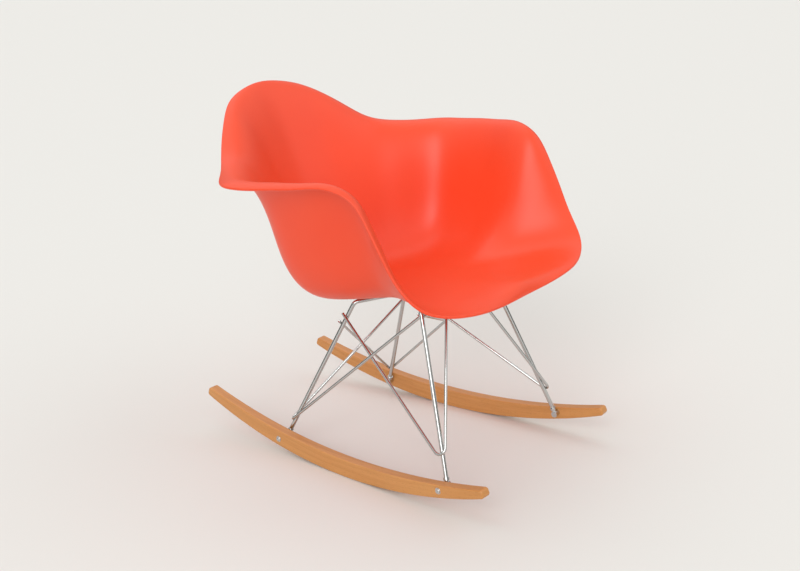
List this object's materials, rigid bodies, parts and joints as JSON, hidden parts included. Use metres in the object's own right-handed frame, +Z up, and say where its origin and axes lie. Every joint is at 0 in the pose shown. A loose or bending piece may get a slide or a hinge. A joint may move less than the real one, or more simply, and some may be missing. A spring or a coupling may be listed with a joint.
{
  "type": "rocking armchair",
  "caption": "Moulded plastic bucket armchair on a chromed bent-rod base that stands on two curved wooden rockers.",
  "frame": {"origin": "on the floor under the centre of the overall bounding box", "axes": "+Z up, the sitter faces -Y, +X towards the sitter's left, X = 0 is the mirror plane of the outline"},
  "size_m": [0.6324, 0.6974, 0.6774],
  "materials": {
    "shell": "satin",
    "chrome_rod": "polished",
    "screw_steel": "satin",
    "rubber": "matte",
    "rocker_wood": "satin"
  },
  "bodies": {
    "root": {"seat_shell": "shell", "mount_rubber_front_right": "rubber", "mount_plate_front_right": "chrome_rod", "mount_washer_front_right": "screw_steel", "mount_screw_front_right": "screw_steel", "mount_rubber_front_left": "rubber", "mount_plate_front_left": "chrome_rod", "mount_washer_front_left": "screw_steel", "mount_screw_front_left": "screw_steel", "mount_rubber_rear_right": "rubber", "mount_plate_rear_right": "chrome_rod", "mount_washer_rear_right": "screw_steel", "mount_screw_rear_right": "screw_steel", "mount_rubber_rear_left": "rubber", "mount_plate_rear_left": "chrome_rod", "mount_washer_rear_left": "screw_steel", "mount_screw_rear_left": "screw_steel", "leg_rod_diagonal": "chrome_rod", "leg_rod_front_left": "chrome_rod", "leg_rod_rear_right": "chrome_rod", "brace_front_right": "chrome_rod", "foot_boss_front_right": "chrome_rod", "foot_collar_front_right": "chrome_rod", "rocker_screw_front_right": "screw_steel", "rocker_washer_front_right": "screw_steel", "brace_front_left": "chrome_rod", "foot_boss_front_left": "chrome_rod", "foot_collar_front_left": "chrome_rod", "rocker_screw_front_left": "screw_steel", "rocker_washer_front_left": "screw_steel", "brace_rear_right": "chrome_rod", "foot_boss_rear_right": "chrome_rod", "foot_collar_rear_right": "chrome_rod", "rocker_screw_rear_right": "screw_steel", "rocker_washer_rear_right": "screw_steel", "brace_rear_left": "chrome_rod", "foot_boss_rear_left": "chrome_rod", "foot_collar_rear_left": "chrome_rod", "rocker_screw_rear_left": "screw_steel", "rocker_washer_rear_left": "screw_steel", "front_cross_rod": "chrome_rod", "front_spreader": "chrome_rod", "rocker_right": "rocker_wood", "rocker_left": "rocker_wood"}
  },
  "joints": []
}
